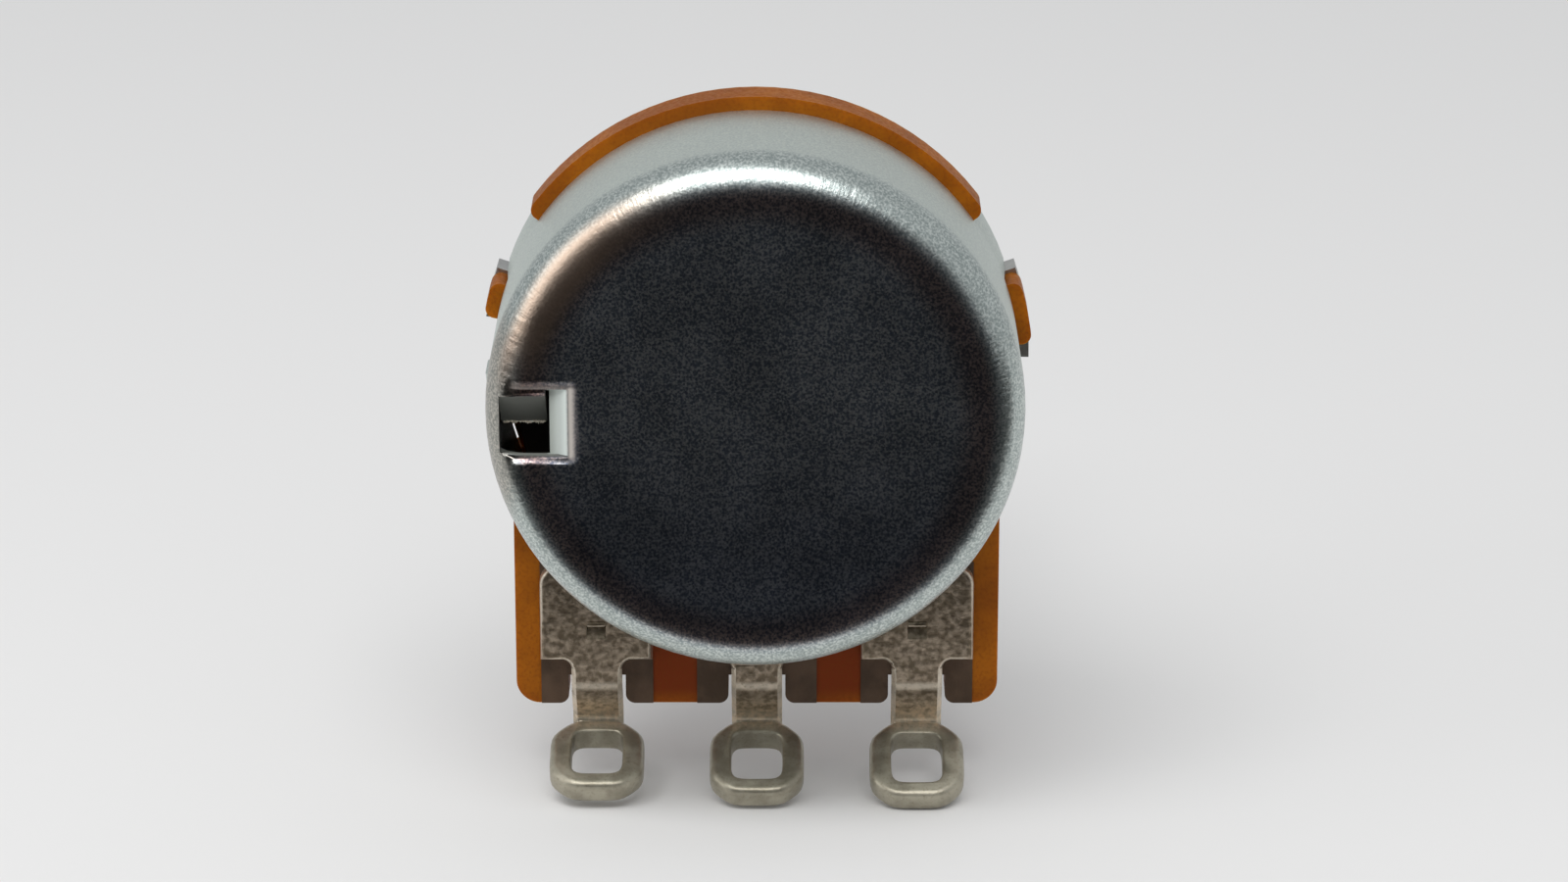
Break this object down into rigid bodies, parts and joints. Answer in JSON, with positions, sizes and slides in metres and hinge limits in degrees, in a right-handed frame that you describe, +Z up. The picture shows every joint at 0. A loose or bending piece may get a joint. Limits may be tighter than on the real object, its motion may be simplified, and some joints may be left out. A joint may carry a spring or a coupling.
{
  "type": "rotary potentiometer",
  "caption": "Panel potentiometer with a round drawn cover, phenolic element board, solder lugs, threaded bushing and plain round shaft that turns between stops.",
  "frame": {"origin": "centre of the panel seating face, on the shaft axis", "axes": "+Y along the shaft towards the knob, +Z up with the solder lugs at -Z, +X to the right seen from the cover side"},
  "size_m": [0.0168, 0.0237, 0.0223],
  "materials": {
    "plated_steel": "satin zinc plating",
    "phenolic": "orange phenolic paper laminate",
    "carbon_print": "printed carbon film",
    "conductor_print": "printed conductor",
    "tinned_brass": "dull tin plating over brass",
    "die_cast_zinc": "bare die-cast zinc",
    "shaft_metal": "turned",
    "spring_steel": "dark spring steel",
    "black_resin": "moulded resin",
    "bronze_spring": "rolled phosphor bronze"
  },
  "bodies": {
    "housing": {"rear_cover": "plated_steel", "element_board": "phenolic", "resistive_track": "carbon_print", "collector_ring": "conductor_print", "end_pad_left": "conductor_print", "end_pad_right": "conductor_print", "terminal_left": "tinned_brass", "terminal_centre": "tinned_brass", "terminal_right": "tinned_brass", "bushing_flange": "die_cast_zinc"},
    "spindle": {"shaft": "shaft_metal", "retaining_clip": "spring_steel", "rotor": "black_resin", "wiper_spring": "bronze_spring"}
  },
  "joints": [
    {"name": "shaft_turn", "type": "hinge", "parent": "housing", "child": "spindle", "pos_m": [0, 0, 0], "axis": [0, 1, 0], "range_deg": [-150, 150]}
  ]
}
